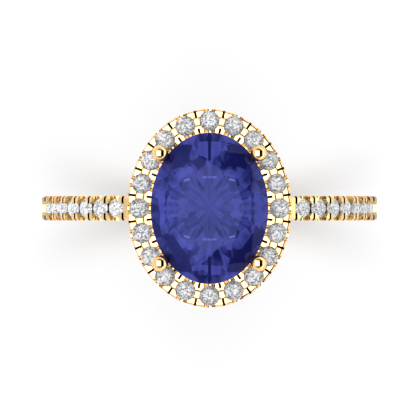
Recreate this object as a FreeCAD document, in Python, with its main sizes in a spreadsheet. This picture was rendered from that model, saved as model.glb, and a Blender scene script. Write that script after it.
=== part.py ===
import FreeCAD, Part
import math
import os

import Sketcher
from FreeCAD import Placement, Rotation, Vector

# Oval halo engagement ring in yellow gold. The origin is the centre of the finger bore, the bore runs
# along Y, and the oval centre stone faces +Z with its long axis along Y.

# The driving dimensions: name, value, meaning. Lengths are in millimetres and angles in degrees.
DIMENSIONS = [
    ("bore_radius", 8.675, "inside radius of the band, US ring size 7"),
    ("band_width", 1.46, "width of the band along the finger"),
    ("band_crest", 10.1, "radius over the beads of the set part of the band"),
    ("bead_bevel", 0.12, "bevel on the outer edges of the set part"),
    ("comfort_edge", 0.14, "rounding of the inner edges of the band"),
    ("plain_crest", 10.06, "radius over the dome of the plain lower part"),
    ("plain_dome", 0.3, "rise of that dome across the band"),
    ("plain_arc", 176.0, "arc of the plain lower part"),
    ("head_flat", 9.75, "height of the flat that the head is soldered to"),
    ("first_slit", 31.0, "angle from the top to the first slit between beads"),
    ("pave_pitch", 7.43, "angle from one band stone to the next"),
    ("pave_count", 8, "stones on each side of the band"),
    ("band_stone", 1.15, "diameter of a band stone"),
    ("band_girdle", 9.74, "radius from the bore's centre to a band stone's girdle"),
    ("channel_width", 0.56, "width of the channel between the two rows of band beads"),
    ("channel_floor", 9.72, "radius to the floor of that channel"),
    ("scallop_width", 0.7, "width of the U cut beside each small stone"),
    ("scallop_drop", 0.33, "depth of that cut's floor below the girdle"),
    ("slit_width", 0.15, "width of the slit between two beads"),
    ("band_slit_drop", 0.6, "depth of a band slit below the crest"),
    ("seat_gap", 0.01, "radial gap between a small stone and its seat"),
    ("azure_radius", 0.32, "radius of the open hole under a small stone"),
    ("stone_width", 7.0, "centre stone across the finger"),
    ("stone_length", 9.0, "centre stone along the finger"),
    ("stone_girdle", 13.55, "height of the centre stone's girdle"),
    ("halo_stone", 1.2, "diameter of a halo stone"),
    ("halo_count", 20, "stones in the halo"),
    ("halo_line_x", 4.18, "half width of the oval through the halo stones"),
    ("halo_line_y", 5.21, "half length of the oval through the halo stones"),
    ("halo_half_wall", 0.69, "half of the halo's radial width"),
    ("halo_top", 13.05, "height of the halo's beads"),
    ("halo_foot", 11.6, "height of the halo's underside"),
    ("halo_round", 0.16, "rounding of the outer edge of the halo's beads"),
    ("halo_girdle", 12.72, "height of the halo stones' girdle"),
    ("bridge_half", 0.27, "half width of the lowered bridges between halo stones"),
    ("bridge_drop", 0.12, "depth of the bridges below the beads"),
    ("halo_slit_drop", 0.85, "depth of a halo slit below the beads"),
    ("outer_slit_reach", 0.46, "reach of a halo slit in from the outer edge"),
    ("inner_slit_reach", 0.31, "reach of a halo slit out from the inner edge"),
    ("claw_radius", 0.36, "radius of the claw wire"),
    ("claw_ball", 0.49, "radius of the ball on a claw"),
    ("ball_x", 2.93, "half distance between the balls across the finger"),
    ("ball_y", 3.27, "half distance between the balls along the finger"),
    ("ball_height", 13.95, "height of a ball's centre"),
    ("claw_heading", 34.0, "angle from X of the upright plane that a claw's wire lies in"),
    ("claw_bend", 10.7, "radius that a claw's wire is bent to"),
    ("claw_lean", 21.7, "lean of a claw's wire from upright at its ball"),
    ("claw_arc", 23.2, "angle that a claw's wire turns through"),
    ("rail_wall", 0.6, "radial width of a gallery rail"),
    ("rail_round", 0.14, "rounding of a gallery rail's edges"),
    ("lower_rail_x", 1.93, "half width over the lower gallery rail"),
    ("lower_rail_y", 2.72, "half length over the lower gallery rail"),
    ("lower_rail_height", 0.7, "height of the lower gallery rail"),
    ("upper_rail_x", 2.72, "half width over the upper gallery rail"),
    ("upper_rail_y", 3.62, "half length over the upper gallery rail"),
    ("upper_rail_height", 0.5, "height of the upper gallery rail"),
    ("upper_rail_foot", 11.1, "height of the upper gallery rail's underside"),
]

# Proportions of a brilliant cut. Shares are of half the stone's width.
CROWN_ANGLE = 34.5
PAVILION_ANGLE = 40.75
TABLE_SHARE = 0.6
GIRDLE_SHARE = 0.06
STAR_SHARE = 0.55
LOWER_HALF_SHARE = 0.8
FACET_STEP = 45.0

CLEAR = 1.0  # how far a cutting tool runs past the metal
TOLERANCE = 1e-6
UP = Vector(0, 0, 1)
FINGER = Vector(0, 1, 0)
ACROSS = Vector(1, 0, 0)

doc = FreeCAD.newDocument("engagement_ring")
sheet = doc.addObject("Spreadsheet::Sheet", "dims")
for row, (alias, value, meaning) in enumerate(DIMENSIONS, start=1):
    sheet.set(f"A{row}", meaning)
    sheet.set(f"B{row}", str(value))
    sheet.setAlias(f"B{row}", alias)
doc.recompute()


gauge = doc.addObject("App::FeaturePython", "gauge")
gauge.addProperty("App::PropertyFloat", "reading")


def number(formula):
    """The plain number that a formula of the sheet's cells gives."""
    gauge.setExpression("reading", str(formula))
    gauge.recompute()
    return gauge.reading


# --- building blocks -------------------------------------------------------------------------------


def primitive(kind, name, **formulas):
    """A Part primitive whose sizes, and whose place x, y and z, follow formulas of the sheet's cells."""
    thing = doc.addObject("Part::" + kind, name)
    for key, formula in formulas.items():
        path = "Placement.Base." + key if key in ("x", "y", "z") else key
        thing.setExpression(path, str(formula))
    return thing


def fuse(name, *shapes):
    """One solid made of several."""
    whole = doc.addObject("Part::MultiFuse", name)
    whole.Shapes = list(shapes)
    return whole


def cut(name, base, tool):
    """A solid with a tool's shape taken away."""
    left = doc.addObject("Part::Cut", name)
    left.Base = base
    left.Tool = tool
    return left


def array(name, master, places):
    """The same solid at several places, kept as one linked object."""
    doc.recompute()
    group = doc.addObject("App::Link", name)
    group.LinkedObject = master
    group.ShowElement = False
    group.ElementCount = len(places)
    group.PlacementList = places
    return group


def oval_block(name, half_x, half_y, foot, top):
    """An upright oval block between two heights, with the oval's long axis along Y."""
    rim = primitive("Ellipse", name + "_rim", MajorRadius=half_y, MinorRadius=half_x, z=foot)
    rim.Placement.Rotation = Rotation(UP, 90)
    block = doc.addObject("Part::Extrusion", name)
    block.Base = rim
    block.DirMode = "Custom"
    block.Dir = UP
    block.setExpression("LengthFwd", f"{top} - ({foot})")
    block.Solid = True
    return block


def oval_ring(name, half_x, half_y, wall, foot, top):
    """An oval ring with upright walls, given by its outer half sizes and its radial width."""
    outside = oval_block(name + "_outside", half_x, half_y, foot, top)
    inside = oval_block(name + "_inside", f"{half_x} - {wall}", f"{half_y} - {wall}",
                        f"{foot} - {CLEAR}", f"{top} + {CLEAR}")
    return cut(name, outside, inside)


def edge_names(shape, wanted):
    """The names of a shape's edges that pass a test."""
    return [f"Edge{index}" for index, edge in enumerate(shape.Edges, start=1) if wanted(edge)]


def is_round(edge, radius):
    """Whether an edge is an arc of a given radius."""
    return isinstance(edge.Curve, Part.Circle) and abs(edge.Curve.Radius - radius) < TOLERANCE


def origin_part(body, role):
    """One of a body's own origin planes or axes."""
    return next(part for part in body.Origin.OriginFeatures if part.Role == role)


def outline(body, name, plane, corners, arc_from=None, arc_middle=None):
    """A closed sketch through corners given as pairs of formulas.

    The side that starts at corner arc_from is an arc through arc_middle, and the others are straight.
    """
    sketch = body.newObject("Sketcher::SketchObject", name)
    sketch.AttachmentSupport = [(origin_part(body, plane), "")]
    sketch.MapMode = "FlatFace"
    points = [Vector(number(x), number(y), 0) for x, y in corners]
    sides = list(zip(points, points[1:] + points[:1]))
    for side, (start, end) in enumerate(sides):
        if side == arc_from:
            middle = Vector(number(arc_middle[0]), number(arc_middle[1]), 0)
            sketch.addGeometry(Part.Arc(start, middle, end), False)
            arc_point = middle
        else:
            sketch.addGeometry(Part.LineSegment(start, end), False)

    def end_at(side, point):
        return 1 if sketch.getPoint(side, 1).isEqual(point, TOLERANCE) else 2

    def pin(geometry, end, x, y):
        for kind, formula in (("DistanceX", x), ("DistanceY", y)):
            link = Sketcher.Constraint(kind, -1, 1, geometry, end, number(formula))
            sketch.setExpression(f"Constraints[{sketch.addConstraint(link)}]", str(formula))

    for side, (start, end) in enumerate(sides):
        following = (side + 1) % len(sides)
        ends = side, end_at(side, end), following, end_at(following, end)
        sketch.addConstraint(Sketcher.Constraint("Coincident", *ends))
        pin(side, end_at(side, start), *corners[side])
    if arc_from is not None:
        guide = sketch.addGeometry(Part.Point(arc_point), True)
        pin(guide, 1, *arc_middle)
        sketch.addConstraint(Sketcher.Constraint("PointOnObject", guide, 1, arc_from))
    return sketch


def turn(body, kind, name, sketch, angle, centred=False):
    """A Revolution or a Groove of a sketch about the finger axis."""
    feature = body.newObject("PartDesign::" + kind, name)
    feature.Profile = sketch
    feature.ReferenceAxis = (origin_part(body, "Y_Axis"), [""])
    feature.setExpression("Angle", angle)
    feature.Midplane = centred
    doc.recompute()
    return feature


# --- the band --------------------------------------------------------------------------------------


def band_blank():
    """The plain band: a turned section with bevelled crest, rounded bore edges and a domed lower part."""
    body = doc.addObject("PartDesign::Body", "band_blank")
    doc.recompute()
    edge = "dims.band_width / 2"
    section = outline(body, "section", "XY_Plane", [
        ("dims.bore_radius", "-" + edge),
        ("dims.band_crest - dims.bead_bevel", "-" + edge),
        ("dims.band_crest", f"dims.bead_bevel - {edge}"),
        ("dims.band_crest", f"{edge} - dims.bead_bevel"),
        ("dims.band_crest - dims.bead_bevel", edge),
        ("dims.bore_radius", edge),
    ])
    hoop = turn(body, "Revolution", "hoop", section, "360")

    side = "dims.plain_dome - dims.plain_crest"
    beyond = f"-dims.band_crest - {CLEAR}"
    spare = outline(body, "spare_metal", "YZ_Plane", [
        ("-" + edge, side),
        (edge, side),
        (f"{edge} + {CLEAR}", side),
        (f"{edge} + {CLEAR}", beyond),
        (f"-{edge} - {CLEAR}", beyond),
        (f"-{edge} - {CLEAR}", side),
    ], arc_from=0, arc_middle=("0", "-dims.plain_crest"))
    domed = turn(body, "Groove", "plain_lower_part", spare, "dims.plain_arc", centred=True)

    bore_edges = edge_names(domed.Shape, lambda rim: is_round(rim, number("dims.bore_radius")))
    comfort = body.newObject("PartDesign::Fillet", "comfort_fit")
    comfort.Base = (domed, bore_edges)
    comfort.setExpression("Radius", "dims.comfort_edge")
    body.Tip = comfort
    doc.recompute()
    return body


# --- tools that cut the seats ----------------------------------------------------------------------
# Each tool is drawn about the centre of a stone's girdle, with the stone facing +Z. A halo tool's X
# points out across the halo, and a band tool's X points along the finger.


def seat_tool(name, stone, depth):
    """A well down to the girdle, a cone under it that carries the stone, and an open hole through."""
    mouth = f"({stone} / 2 + dims.seat_gap)"
    rim = f"(-{GIRDLE_SHARE} * {stone} / 4)"
    drop = f"({mouth} - dims.azure_radius)"
    well = primitive("Cylinder", name + "_well", Radius=mouth, Height=CLEAR, z=rim)
    cone = primitive("Cone", name + "_cone", Radius1="dims.azure_radius", Radius2=mouth, Height=drop,
                     z=f"{rim} - {drop}")
    hole = primitive("Cylinder", name + "_hole", Radius="dims.azure_radius", Height=depth,
                     z=f"{rim} - {depth}")
    return fuse(name, well, cone, hole)


def scallop_tool():
    """The U cut that runs under both sides of a stone: a round floor with upright walls over it."""
    length = 4 * CLEAR
    middle = "dims.scallop_width / 2 - dims.scallop_drop"
    floor = primitive("Cylinder", "scallop_floor", Radius="dims.scallop_width / 2", Height=length,
                      x=-length / 2, z=middle)
    floor.Placement.Rotation = Rotation(FINGER, 90)
    walls = primitive("Box", "scallop_walls", Length=length, Width="dims.scallop_width", Height=CLEAR,
                      x=-length / 2, y="-dims.scallop_width / 2", z=middle)
    return fuse("scallop_tool", floor, walls)


def slot_tool(name, width, start, end, low, high):
    """An upright slot across a wall, from start to end along X.

    The box sits inside a compound, so that an array can place the tool without losing the box's own place.
    """
    box = primitive("Box", name + "_box", Length=f"{end} - ({start})", Width=width,
                    Height=f"{high} - ({low})", x=start, y=f"-{width} / 2", z=low)
    tool = doc.addObject("Part::Compound", name)
    tool.Links = [box]
    return tool


# --- where the small stones sit --------------------------------------------------------------------


def halo_places(shift):
    """Places at equal distances round the halo's oval, starting shift steps past its back end."""
    oval = Part.Ellipse(Vector(0, number("dims.halo_line_y"), 0), Vector(number("dims.halo_line_x"), 0, 0),
                        Vector(0, 0, 0))
    count = int(number("dims.halo_count"))
    step = oval.length() / count
    places = []
    for stone in range(count):
        angle = oval.parameterAtDistance((stone + shift) * step, oval.FirstParameter)
        point = oval.value(angle)
        heading = math.degrees(math.atan2(point.y / number("dims.halo_line_y") ** 2,
                                          point.x / number("dims.halo_line_x") ** 2))
        places.append(Placement(point + UP * number("dims.halo_girdle"), Rotation(UP, heading)))
    return places


def band_places(side, shift, count):
    """Places down one side of the band (+1 right, -1 left), starting shift steps past its first slit."""
    radius = number("dims.band_girdle")
    places = []
    for stone in range(count):
        angle = side * number(f"dims.first_slit + dims.pave_pitch * {stone + shift}")
        tilt = Rotation(FINGER, angle)
        places.append(Placement(tilt.multVec(UP * radius), tilt * Rotation(UP, 90)))
    return places


# --- stones ----------------------------------------------------------------------------------------


def facet(azimuth, radius, height, slope, side):
    """A facet's plane on a stone of half width 1: a point of it and its outward normal.

    side is +1 above the girdle and -1 below it, and height is counted from the girdle on that side.
    """
    across = Rotation(UP, azimuth).multVec(ACROSS)
    lean = math.atan(slope)
    return across * radius + UP * side * height, across * math.sin(lean) + UP * side * math.cos(lean)


def brilliant_facets():
    """The planes of a round brilliant of half width 1: crown planes and pavilion planes."""
    half = FACET_STEP / 2
    quarter = FACET_STEP / 4
    spread = math.cos(math.radians(half))
    chord = math.cos(math.radians(quarter))
    crown_slope = math.tan(math.radians(CROWN_ANGLE))
    pavilion_slope = math.tan(math.radians(PAVILION_ANGLE))

    table_height = (1 - TABLE_SHARE) * crown_slope
    table_chord = TABLE_SHARE * spread
    star_radius = table_chord + STAR_SHARE * (1 - table_chord)
    star_height = (1 - star_radius * spread) * crown_slope
    star_slope = (table_height - star_height) / (star_radius - table_chord)
    upper_slope = star_height / (chord * (1 - star_radius))
    lower_radius = 1 - LOWER_HALF_SHARE
    lower_slope = (1 - lower_radius * spread) * pavilion_slope / (chord * (1 - lower_radius))

    crown = [facet(0, 0, table_height, 0, 1)]
    pavilion = []
    for step in range(round(360 / FACET_STEP)):
        main = step * FACET_STEP
        crown.append(facet(main, TABLE_SHARE, table_height, crown_slope, 1))
        crown.append(facet(main + half, table_chord, table_height, star_slope, 1))
        pavilion.append(facet(main, 1, 0, pavilion_slope, -1))
        for wing in (main + quarter, main - quarter):
            crown.append(facet(wing, chord, 0, upper_slope, 1))
            pavilion.append(facet(wing, chord, 0, lower_slope, -1))
    return crown, pavilion


def brilliant(half_x, half_y):
    """A brilliant-cut stone ground from an upright blank, facet by facet. The origin is mid girdle."""
    reach = 4 * half_y
    half_girdle = GIRDLE_SHARE * half_x / 2
    stone = Part.makeCylinder(half_x, 2 * half_x, Vector(0, 0, -half_x))
    if half_y > half_x:
        rim = Part.Ellipse(Vector(0, half_y, -half_x), Vector(half_x, 0, -half_x), Vector(0, 0, -half_x))
        stone = Part.Face(Part.Wire(rim.toShape())).extrude(UP * 2 * half_x)
    for planes, girdle in zip(brilliant_facets(), (half_girdle, -half_girdle)):
        for point, normal in planes:
            at = Vector(point.x * half_x, point.y * half_y, point.z * half_x + girdle)
            facing = Vector(normal.x / half_x, normal.y / half_y, normal.z / half_x)
            waste = Part.makeBox(reach, reach, reach, Vector(-reach / 2, -reach / 2, 0))
            waste.Placement = Placement(at, Rotation(UP, facing))
            stone = stone.cut(waste)
    return stone.Solids[0]


def set_stones(prefix, shape, places):
    """The same cut stone at each place, as separate numbered pieces."""
    stones = []
    for index, place in enumerate(places, start=1):
        stone = doc.addObject("Part::Feature", f"{prefix}_{index:02d}")
        stone.Shape = shape
        stone.Placement = place
        stones.append(stone)
    return stones


# --- sub-parts -------------------------------------------------------------------------------------


def make_shank():
    """The band with its head flat, seats, U cuts, slits and channel."""
    count = int(number("dims.pave_count"))
    seats = band_places(1, 0.5, count) + band_places(-1, 0.5, count)
    slits = band_places(1, 0, count) + band_places(-1, 0, count)
    depth = f"(dims.band_girdle - dims.bore_radius + {CLEAR})"
    seat = seat_tool("band_seat_tool", "dims.band_stone", depth)
    slit = slot_tool("band_slit_tool", "dims.slit_width", "-dims.band_width", "dims.band_width",
                     "dims.band_crest - dims.band_slit_drop - dims.band_girdle", CLEAR)

    flat = primitive("Box", "head_flat_tool", Length="dims.bore_radius",
                     Width=f"dims.band_width + {2 * CLEAR}", Height=CLEAR, x="-dims.bore_radius / 2",
                     y=f"-dims.band_width / 2 - {CLEAR}", z="dims.head_flat")
    channels = []
    for name, side in (("right", 1), ("left", -1)):
        sweep = "(dims.pave_pitch * dims.pave_count)"
        outside = primitive("Cylinder", f"channel_{name}_outside", Radius=f"dims.band_crest + {CLEAR}",
                            Height="dims.channel_width", Angle=sweep, y="dims.channel_width / 2")
        start = number(f"90 - dims.first_slit - {sweep}") if side > 0 else number("90 + dims.first_slit")
        outside.Placement.Rotation = Rotation(ACROSS, 90) * Rotation(UP, start)
        inside = primitive("Cylinder", f"channel_{name}_inside", Radius="dims.channel_floor",
                           Height="dims.band_width", y="dims.band_width / 2")
        inside.Placement.Rotation = Rotation(ACROSS, 90)
        channels.append(cut(f"channel_{name}", outside, inside))

    metal = cut("flat_band", band_blank(), flat)
    metal = cut("channelled_band", metal, fuse("channels", *channels))
    metal = cut("scalloped_band", metal, array("band_scallops", scallop, seats))
    metal = cut("slit_band", metal, array("band_slits", slit, slits))
    return cut("shank", metal, array("band_seats", seat, seats)), seats


def make_claws(stone):
    """Four bent wires with ball tips, each notched by the centre stone."""
    claws = []
    for name, side_x, side_y in (("right_back", 1, 1), ("left_back", -1, 1),
                                 ("left_front", -1, -1), ("right_front", 1, -1)):
        heading = math.degrees(math.atan2(side_y * math.sin(math.radians(number("dims.claw_heading"))),
                                          side_x * math.cos(math.radians(number("dims.claw_heading")))))
        lean = Rotation(FINGER, number("dims.claw_lean"))
        ball_at = Vector(side_x * number("dims.ball_x"), side_y * number("dims.ball_y"),
                         number("dims.ball_height"))
        facing = Rotation(UP, heading)
        centre = ball_at - facing.multVec(lean.multVec(ACROSS)) * number("dims.claw_bend")
        wire = primitive("Torus", f"wire_{name}", Radius1="dims.claw_bend", Radius2="dims.claw_radius",
                         Angle3="dims.claw_arc")
        wire.Placement = Placement(centre, facing * lean * Rotation(ACROSS, -90))
        ball = primitive("Sphere", f"ball_{name}", Radius="dims.claw_ball")
        ball.Placement.Base = ball_at
        claws.append(cut(f"claw_{name}", fuse(f"whole_claw_{name}", wire, ball), stone))
    return claws


def make_halo_frame(claws):
    """The halo's oval tray, rounded along its outer edge, with the cuts that set the stones."""
    tray = oval_ring("halo_tray", "(dims.halo_line_x + dims.halo_half_wall)",
                     "(dims.halo_line_y + dims.halo_half_wall)", "(2 * dims.halo_half_wall)",
                     "dims.halo_foot", "dims.halo_top")
    doc.recompute()

    def is_outer_top(edge):
        box = edge.BoundBox
        return box.ZMin > number("dims.halo_top") - TOLERANCE and box.XMax > number("dims.halo_line_x")

    radius = number("dims.halo_round")
    rounded = doc.addObject("Part::Fillet", "rounded_tray")
    rounded.Base = tray
    rounded.Edges = [(int(name[4:]), radius, radius) for name in edge_names(tray.Shape, is_outer_top)]

    groove = oval_ring("bridge_groove", "(dims.halo_line_x + dims.bridge_half)",
                       "(dims.halo_line_y + dims.bridge_half)", "(2 * dims.bridge_half)",
                       "dims.halo_top - dims.bridge_drop", f"dims.halo_top + {CLEAR}")
    low = "(dims.halo_top - dims.halo_slit_drop - dims.halo_girdle)"
    outer_slit = slot_tool("outer_slit_tool", "dims.slit_width",
                           "dims.halo_half_wall - dims.outer_slit_reach",
                           f"dims.halo_half_wall + {CLEAR}", low, CLEAR)
    inner_slit = slot_tool("inner_slit_tool", "dims.slit_width", f"-dims.halo_half_wall - {CLEAR}",
                           "dims.inner_slit_reach - dims.halo_half_wall", low, CLEAR)
    seat = seat_tool("halo_seat_tool", "dims.halo_stone", f"(dims.halo_girdle - dims.halo_foot + {CLEAR})")

    seats = halo_places(0)
    slits = halo_places(0.5)
    metal = cut("bridged_tray", rounded, groove)
    metal = cut("scalloped_tray", metal, array("halo_scallops", scallop, seats))
    metal = cut("outer_slit_tray", metal, array("outer_slits", outer_slit, slits))
    metal = cut("slit_tray", metal, array("inner_slits", inner_slit, slits))
    metal = cut("seated_tray", metal, array("halo_seats", seat, seats))
    return cut("halo_frame", metal, claws), seats


def make_rail(level, claws):
    """A rounded oval rail that ties the claws together, let in round their wires."""
    foot = "dims.upper_rail_foot" if level == "upper" else "dims.head_flat"
    blank = oval_ring(f"{level}_rail_blank", f"dims.{level}_rail_x", f"dims.{level}_rail_y", "dims.rail_wall",
                      foot, f"({foot} + dims.{level}_rail_height)")
    doc.recompute()
    radius = number("dims.rail_round")
    rounded = doc.addObject("Part::Fillet", f"{level}_rail_rounded")
    rounded.Base = blank
    top = number(f"{foot} + dims.{level}_rail_height") - TOLERANCE

    def is_rounded(edge):
        box = edge.BoundBox
        return box.ZLength < TOLERANCE and (box.ZMin > top or level == "upper")

    rounded.Edges = [(int(name[4:]), radius, radius) for name in edge_names(blank.Shape, is_rounded)]
    return cut(f"{level}_gallery_rail", rounded, claws)


def half(alias):
    """Half of a cell's value."""
    return number(f"dims.{alias} / 2")


scallop = scallop_tool()
shank, band_seats = make_shank()

center_stone = doc.addObject("Part::Feature", "center_stone")
center_stone.Shape = brilliant(half("stone_width"), half("stone_length"))
center_stone.Placement = Placement(UP * number("dims.stone_girdle"), Rotation(UP, 0))

claws = make_claws(center_stone)
claw_group = doc.addObject("Part::Compound", "claw_group")
claw_group.Links = claws
halo_frame, halo_seats = make_halo_frame(claw_group)
rails = [make_rail("lower", claw_group), make_rail("upper", claw_group)]

halo_cut = brilliant(half("halo_stone"), half("halo_stone"))
band_cut = brilliant(half("band_stone"), half("band_stone"))
side_count = int(number("dims.pave_count"))
small_stones = set_stones("halo_stone", halo_cut, halo_seats)
small_stones += set_stones("band_stone_right", band_cut, band_seats[:side_count])
small_stones += set_stones("band_stone_left", band_cut, band_seats[side_count:])

sub_parts = [shank, halo_frame, center_stone] + rails + claws + small_stones
doc.recompute()
for thing in doc.Objects:
    if "Invalid" in thing.State or "Error" in thing.State:
        raise RuntimeError(f"{thing.Name} failed to compute: {thing.State}")
for part in sub_parts:
    if part.Shape.isNull() or not part.Shape.isValid() or len(part.Shape.Solids) != 1:
        raise RuntimeError(f"{part.Label} isn't one valid solid")

os.makedirs("parts", exist_ok=True)
for part in sub_parts:
    part.Shape.exportStep(f"parts/{part.Label}.step")
    print(f"{part.Label}: {part.Shape.Volume:.3f} cubic mm")
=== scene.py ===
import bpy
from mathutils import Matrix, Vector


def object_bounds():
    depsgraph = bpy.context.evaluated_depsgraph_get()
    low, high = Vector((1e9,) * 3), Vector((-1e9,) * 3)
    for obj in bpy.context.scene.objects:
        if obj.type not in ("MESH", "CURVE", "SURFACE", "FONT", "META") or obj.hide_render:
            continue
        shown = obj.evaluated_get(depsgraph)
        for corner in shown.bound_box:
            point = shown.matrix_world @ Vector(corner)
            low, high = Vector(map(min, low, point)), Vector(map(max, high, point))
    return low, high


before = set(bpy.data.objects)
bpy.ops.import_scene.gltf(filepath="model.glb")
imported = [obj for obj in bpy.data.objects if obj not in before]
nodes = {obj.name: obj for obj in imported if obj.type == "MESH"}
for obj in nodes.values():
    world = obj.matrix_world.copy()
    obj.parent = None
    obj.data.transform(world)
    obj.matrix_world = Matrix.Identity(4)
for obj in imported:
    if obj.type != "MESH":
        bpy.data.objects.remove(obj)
cad_box = [list(corner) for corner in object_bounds()]

import math

import bpy

MM = 0.001
lowest_height = cad_box[0][2]


# --- shader node helpers --------------------------------------------------------------------


class Graph:
    """Short ways to add and join shader nodes in one node tree."""

    def __init__(self, tree):
        self.tree = tree

    def add(self, kind, **inputs):
        """A node, with inputs given by name: another node's output socket or a plain value."""
        node = self.tree.nodes.new("ShaderNode" + kind)
        for name, value in inputs.items():
            self.feed(node.inputs[name.replace("_", " ")], value)
        return node

    def feed(self, socket, value):
        """Joins an output socket to an input socket, or sets the input to a plain value."""
        if isinstance(value, bpy.types.NodeSocket):
            self.tree.links.new(value, socket)
        else:
            socket.default_value = value

    def math(self, operation, first, second=0.0):
        node = self.tree.nodes.new("ShaderNodeMath")
        node.operation = operation
        self.feed(node.inputs[0], first)
        self.feed(node.inputs[1], second)
        return node.outputs[0]

    def plus(self, first, second):
        return self.math("ADD", first, second)

    def minus(self, first, second):
        return self.math("SUBTRACT", first, second)

    def times(self, first, second):
        return self.math("MULTIPLY", first, second)

    def square(self, value):
        return self.math("POWER", value, 2.0)

    def split(self, vector):
        """The X, Y and Z outputs of a vector or a colour."""
        return self.add("SeparateXYZ", Vector=vector).outputs

    def ramp(self, value, start, end, low=0.0, high=1.0):
        """Turns start..end into low..high with soft ends, and holds still outside."""
        node = self.tree.nodes.new("ShaderNodeMapRange")
        node.interpolation_type = "SMOOTHSTEP"
        numbers = (value, start, end, low, high)
        for socket, number in zip(node.inputs, numbers):
            self.feed(socket, number)
        return node.outputs["Result"]

    def inside(self, value, low, high, soft):
        """1 between low and high, and 0 outside, with edges of a given softness."""
        rising = self.ramp(value, low - soft, low + soft)
        falling = self.ramp(value, high - soft, high + soft, 1.0, 0.0)
        return self.times(rising, falling)

    def mix(self, amount, first, second):
        """A colour between two colours."""
        node = self.tree.nodes.new("ShaderNodeMix")
        node.data_type = "RGBA"
        self.feed(node.inputs[0], amount)
        self.feed(node.inputs[6], first)
        self.feed(node.inputs[7], second)
        return node.outputs[2]

    def noise(self, scale, detail, stretch=(1, 1, 1)):
        """Noise in the object's own coordinates, with scale in features per metre."""
        place = self.add("TexCoord").outputs["Object"]
        mapped = self.add("Mapping", Vector=place, Scale=stretch).outputs["Vector"]
        return self.add("TexNoise", Vector=mapped, Scale=scale, Detail=detail).outputs["Fac"]

    def bump(self, height, depth):
        """A bumped normal: depth is the height of a full-scale step, in metres."""
        return self.add("Bump", Height=height, Distance=depth).outputs["Normal"]

    def openness(self, reach, own_shape_only):
        """1 where the surface is in the open, and towards 0 deep in a recess."""
        open_sky = self.add("AmbientOcclusion", Distance=reach)
        open_sky.samples = 8
        open_sky.only_local = own_shape_only
        return open_sky.outputs["AO"]


def new_material(name, constants):
    """A material, its graph helper and its Principled shader.

    The constants are the inputs that are the same all over the surface, by name.
    """
    material = bpy.data.materials.new(name)
    material.use_nodes = True
    shader = material.node_tree.nodes["Principled BSDF"]
    for constant, value in constants.items():
        shader.inputs[constant].default_value = value
    return material, Graph(material.node_tree), shader


# --- gold -----------------------------------------------------------------------------------

GOLD = (0.93, 0.635, 0.30, 1)
# painted shade: darker golds for recesses, and near-black and dark brown for narrow slits
RECESS_SHADE_GOLD = (0.64, 0.47, 0.18, 1)
DEEP_SHADE_GOLD = (0.24, 0.18, 0.060, 1)
BLACK_SLIT_SHADE = (0.004, 0.002, 0.001, 1)
BROWN_SLIT_SHADE = (0.040, 0.024, 0.008, 1)

RECESS_REACH = 0.90 * MM
SLIT_REACH = 0.20 * MM
HAIRLINE_SCALE = 20000
HAIRLINE_STRETCH = (1, 0.08, 1)
HAIRLINE_DEPTH = 0.0004 * MM
WEAR_SCALE = 900


def gold(name, shade_start, full, slit_shade_colour):
    """Polished yellow gold with fine hairlines, darker gold painted as shade in recesses, and
    near-black painted shade in narrow slits.

    The painted slit shade starts where the openness falls below shade_start, and covers all
    below full.
    """
    material, graph, shader = new_material(name, {"Metallic": 1.0})
    # painted shade: the gold darkens in recesses, and turns near black in narrow slits, the
    # less open the surface is
    recess = graph.openness(RECESS_REACH, own_shape_only=True)
    recess_shade = graph.mix(graph.ramp(recess, 0.86, 0.70), GOLD, RECESS_SHADE_GOLD)
    deep = graph.mix(graph.ramp(recess, 0.76, 0.52), recess_shade, DEEP_SHADE_GOLD)
    slit = graph.openness(SLIT_REACH, own_shape_only=True)
    slit_shade = graph.ramp(slit, shade_start, full)
    graph.feed(shader.inputs["Base Color"], graph.mix(slit_shade, deep, slit_shade_colour))
    wear = graph.noise(WEAR_SCALE, detail=3)
    graph.feed(shader.inputs["Roughness"], graph.ramp(wear, 0.3, 0.7, low=0.03, high=0.10))
    hairlines = graph.noise(HAIRLINE_SCALE, detail=2, stretch=HAIRLINE_STRETCH)
    graph.feed(shader.inputs["Normal"], graph.bump(hairlines, HAIRLINE_DEPTH))
    return material


# --- colourless stones ----------------------------------------------------------------------

PAINTED_GLINT_SCALE = 13000.0
PAINTED_GLINT_DARK = (0.06, 0.062, 0.066, 1)
PAINTED_GLINT_BRIGHT = (0.80, 0.80, 0.81, 1)


def diamond(name, painted_glow):
    """A colourless stone whose many small inner reflections are painted into its colour as
    dark and bright cells, with a faint painted glow.
    """
    material, graph, shader = new_material(name, {
        "Transmission Weight": 0.3,
        # painted glow: the stone gives off a faint light of its own, standing in for light it
        # carries up from below
        "Emission Color": (0.94, 0.96, 1.0, 1),
        "Emission Strength": painted_glow,
        "IOR": 2.417,
        "Specular IOR Level": 0.2,
        "Specular Tint": (0.45, 0.46, 0.48, 1),
        "Roughness": 0.0,
    })
    place = graph.add("TexCoord").outputs["Object"]
    # painted reflections: cells of the stone are coloured dark or bright, as glints
    painted_glints = graph.add("TexVoronoi", Vector=place, Scale=PAINTED_GLINT_SCALE)
    painted_sparkle = graph.ramp(graph.split(painted_glints.outputs["Color"])["X"], 0.1, 0.9)
    graph.feed(shader.inputs["Base Color"], graph.mix(painted_sparkle, PAINTED_GLINT_DARK, PAINTED_GLINT_BRIGHT))
    return material


# --- blue stone -----------------------------------------------------------------------------

STONE_HALF_WIDTH = 3.5 * MM
STONE_HALF_LENGTH = 4.5 * MM
DARK_REFLECTION_BLUE = (0.010, 0.013, 0.11, 1)
LIGHT_REFLECTION_BLUE = (0.075, 0.088, 0.43, 1)
PAINTED_TABLE_REFLECTION_BLUE = (0.060, 0.070, 0.23, 1)
PAINTED_HIGHLIGHT_BLUE = (0.24, 0.26, 0.85, 1)
GIRDLE_SHADE = (0.02, 0.01, 0.03, 1)
GIRDLE_REACH = 0.6 * MM


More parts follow.
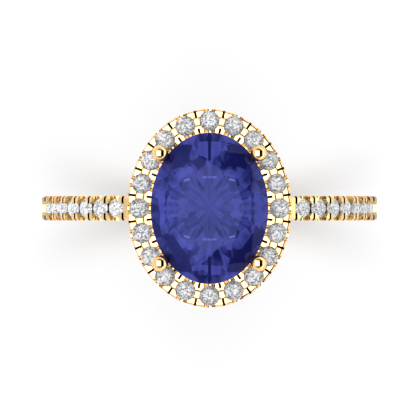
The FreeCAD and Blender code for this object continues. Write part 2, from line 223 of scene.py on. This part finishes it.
def tanzanite():
    """A deep violet-blue stone with painted kite-shaped and needle-shaped inner reflections.

    Most of the painted reflections are mirrored across both axes of the oval, and a few flat
    patches aren't. A painted reflection makes it paler under the table, and painted shade
    makes it darker by the claws. Places on the stone are given with the oval scaled to a
    circle of radius 1.
    """
    material, graph, shader = new_material("tanzanite", {
        "Transmission Weight": 0.45,
        "IOR": 1.69,
        "Specular IOR Level": 0.1,
        "Specular Tint": (0.15, 0.17, 0.45, 1),
        "Roughness": 0.05,
    })
    coordinates = graph.add("TexCoord").outputs
    scaled = graph.add("Mapping", Vector=coordinates["Object"],
                       Scale=(1 / STONE_HALF_WIDTH, 1 / STONE_HALF_LENGTH, 1 / MM))
    place = graph.split(scaled.outputs["Vector"])
    across = graph.math("ABSOLUTE", place["X"])
    along = graph.math("ABSOLUTE", place["Y"])
    radius = graph.math("SQRT", graph.plus(graph.square(across), graph.square(along)))
    angle = graph.math("ARCTAN2", along, across)

    def wheel(turns, rings):
        """Coordinates that unroll the stone round its middle."""
        unrolled = graph.add("CombineXYZ", X=graph.times(angle, turns),
                             Y=graph.times(radius, rings))
        return unrolled.outputs["Vector"]

    # painted reflections: kites and needles that wheel round the middle, as the facets show
    # through
    kites = graph.add("TexVoronoi", Vector=wheel(3.0, 4.2), Scale=1.6)
    kite = graph.split(kites.outputs["Color"])["X"]
    spokes = graph.add("TexNoise", Vector=wheel(13.0, 2.4), Scale=1.0, Detail=2.0)
    needles = spokes.outputs["Fac"]
    patches = graph.add("TexVoronoi", Vector=scaled.outputs["Vector"], Scale=2.8)
    patch = graph.split(patches.outputs["Color"])
    painted_reflections = graph.plus(graph.times(kite, 0.5), graph.times(needles, 0.6))
    painted_reflections = graph.plus(painted_reflections, graph.times(graph.minus(patch["X"], 0.5), 0.22))

    # painted darker reflections: a few patches of the crown, the four corners, and a line at
    # each end
    crown = graph.ramp(radius, 0.50, 0.60)
    dark_patch = graph.times(graph.ramp(patch["Y"], 0.80, 0.86), crown)
    diagonal = graph.ramp(graph.math("SINE", graph.times(angle, 2.0)), 0.5, 0.95)
    corner = graph.times(diagonal, graph.ramp(radius, 0.55, 0.75))
    keel = graph.times(graph.ramp(across, 0.035, 0.015), graph.ramp(along, 0.60, 0.66))
    for mark, strength in ((dark_patch, 0.35), (corner, 0.28), (keel, 0.5)):
        painted_reflections = graph.minus(painted_reflections, graph.times(mark, strength))

    # less contrast in the middle
    contrast = graph.ramp(radius, 0.02, 0.35, low=0.55, high=1.0)
    painted_reflections = graph.plus(graph.times(graph.minus(painted_reflections, 0.55), contrast), 0.54)
    blue = graph.mix(graph.ramp(painted_reflections, 0.15, 0.80), DARK_REFLECTION_BLUE, LIGHT_REFLECTION_BLUE)

    # painted highlights: bright dashes at the ends and corners of an oval near the table's
    # edge
    arc = graph.plus(along, graph.times(graph.square(across), 0.25))
    end = graph.inside(across, -0.12, 0.12, soft=0.02)
    edge = graph.inside(across, 0.33, 0.43, soft=0.02)
    painted_highlight_dashes = graph.times(graph.inside(arc, 0.40, 0.425, soft=0.008), graph.plus(end, edge))
    blue = graph.mix(graph.times(painted_highlight_dashes, graph.ramp(needles, 0.3, 0.6)), blue, PAINTED_HIGHLIGHT_BLUE)

    # painted reflection: the flat table takes a greyer blue
    table = graph.ramp(graph.split(coordinates["Normal"])["Z"], 0.985, 0.999)
    blue = graph.mix(graph.times(table, 0.35), blue, PAINTED_TABLE_REFLECTION_BLUE)
    # painted shade: darker where the claws and gold close in around the stone
    open_sky = graph.ramp(graph.openness(GIRDLE_REACH, own_shape_only=False), 0.35, 0.75)
    graph.feed(shader.inputs["Base Color"], graph.mix(open_sky, GIRDLE_SHADE, blue))
    return material


# --- the ring's materials -------------------------------------------------------------------


def dress(name, material):
    """Gives one CAD piece its material."""
    mesh = nodes[name].data
    mesh.materials.clear()
    mesh.materials.append(material)


# painted shade in the slits: dark brown on the other gold parts, near black on the halo frame
polished_gold = gold("polished_gold", 0.68, 0.50, BROWN_SLIT_SHADE)
halo_gold = gold("halo_gold", 0.95, 0.80, BLACK_SLIT_SHADE)
halo_diamond = diamond("halo_diamond", 0.10)
band_diamond = diamond("band_diamond", 0.20)
blue_stone = tanzanite()
for name in nodes:
    if name == "center_stone":
        dress(name, blue_stone)
    elif name.startswith("halo_stone"):
        dress(name, halo_diamond)
    elif name.startswith("band_stone"):
        dress(name, band_diamond)
    elif name == "halo_frame":
        dress(name, halo_gold)
    else:
        dress(name, polished_gold)


# --- studio ---------------------------------------------------------------------------------

FLOOR_WIDTH = 3.0
FLOOR_COLOUR = (0.435, 0.438, 0.446, 1)

PANEL_SOFTNESS = 0.02
CEILING_HALF_WIDTH = 0.45
CEILING_HALF_LENGTH = 0.58
CEILING_BRIGHTNESS = 0.25
SOFTBOX_BRIGHTNESS = 3.3

FILL_DISTANCE = 3.0
FILL_TILT = math.radians(23.4)
FILL_WIDTH = 3.6
FILL_LENGTH = 4.5
FILL_WATTS = 170

LENS = 1200
SENSOR = 36
FRAME_WIDTH = 24.75 * MM
HALO_HEIGHT = 13.0 * MM
CAMERA_SHIFT = (-0.0036, 0.0007)


def make_floor():
    """A plain pale floor that the ring stands on."""
    bpy.ops.mesh.primitive_plane_add(size=FLOOR_WIDTH, location=(0, 0, lowest_height))
    floor = bpy.context.object
    floor.name = "floor"
    material, _, _ = new_material("pale_floor", {"Base Color": FLOOR_COLOUR, "Roughness": 0.9})
    floor.data.materials.append(material)
    return floor


def make_world():
    """A white room with a dim ceiling and a black flag beside the overhead softbox.

    Directions are laid out as a mirror ball shows them from above: 0 at the zenith, and
    0.71 at the horizon.
    """
    world = bpy.data.worlds.new("studio")
    world.use_nodes = True
    graph = Graph(world.node_tree)
    way = graph.split(graph.add("TexCoord").outputs["Generated"])
    # a little over 1, so that straight down doesn't divide by nothing
    reach = graph.math("SQRT", graph.times(graph.plus(way["Z"], 1.001), 2.0))
    across = graph.math("DIVIDE", way["X"], reach)
    along = graph.math("DIVIDE", way["Y"], reach)

    def panel(left, right, half_length):
        """A soft-edged rectangle on the mirror ball."""
        return graph.times(graph.inside(across, left, right, PANEL_SOFTNESS),
                           graph.inside(along, -half_length, half_length, PANEL_SOFTNESS))

    def without(light, share):
        """What is left of a light where a panel covers a share of it."""
        return graph.times(light, graph.minus(1.0, share))

    wide = graph.square(graph.math("DIVIDE", across, CEILING_HALF_WIDTH))
    tall = graph.square(graph.math("DIVIDE", along, CEILING_HALF_LENGTH))
    ceiling = graph.ramp(graph.math("SQRT", graph.plus(wide, tall)), 0.92, 1.12, 1.0, 0.0)
    walls = graph.ramp(across, -0.3, 0.45, low=0.90, high=1.75)
    flag = panel(0.10, 0.45, 0.38)
    softbox = panel(-0.46, 0.07, 0.32)
    light = graph.plus(without(walls, ceiling), graph.times(ceiling, CEILING_BRIGHTNESS))
    light = without(light, flag)
    light = graph.plus(without(light, softbox), graph.times(softbox, SOFTBOX_BRIGHTNESS))

    background = world.node_tree.nodes["Background"]
    background.inputs["Color"].default_value = (1, 1, 1, 1)
    graph.feed(background.inputs["Strength"], light)
    bpy.context.scene.world = world


def make_fill(floor):
    """A soft light opposite the softbox that lights only the floor, for even shade."""
    light = bpy.data.lights.new("floor_fill", "AREA")
    light.shape = "RECTANGLE"
    light.size = FILL_WIDTH
    light.size_y = FILL_LENGTH
    light.energy = FILL_WATTS
    fill = bpy.data.objects.new("floor_fill", light)
    bpy.context.scene.collection.objects.link(fill)
    fill.location = (FILL_DISTANCE * math.sin(FILL_TILT), 0,
                     FILL_DISTANCE * math.cos(FILL_TILT))
    fill.rotation_euler = (0, FILL_TILT, 0)
    fill.visible_glossy = False
    fill.visible_transmission = False
    fill.visible_camera = False
    lit = bpy.data.collections.new("lit_by_fill")
    lit.objects.link(floor)
    fill.light_linking.receiver_collection = lit


def make_camera():
    """A long lens straight over the ring, as for a catalogue's top view."""
    camera_data = bpy.data.cameras.new("camera")
    camera = bpy.data.objects.new("camera", camera_data)
    bpy.context.scene.collection.objects.link(camera)
    camera_data.lens = LENS
    camera_data.sensor_width = SENSOR
    camera.location = (0, 0, HALO_HEIGHT + FRAME_WIDTH * LENS / SENSOR)
    camera_data.shift_x, camera_data.shift_y = CAMERA_SHIFT
    camera_data.clip_start = 0.01
    camera_data.clip_end = 10
    bpy.context.scene.camera = camera


make_fill(make_floor())
make_world()
make_camera()
bpy.context.scene.view_settings.view_transform = "Standard"
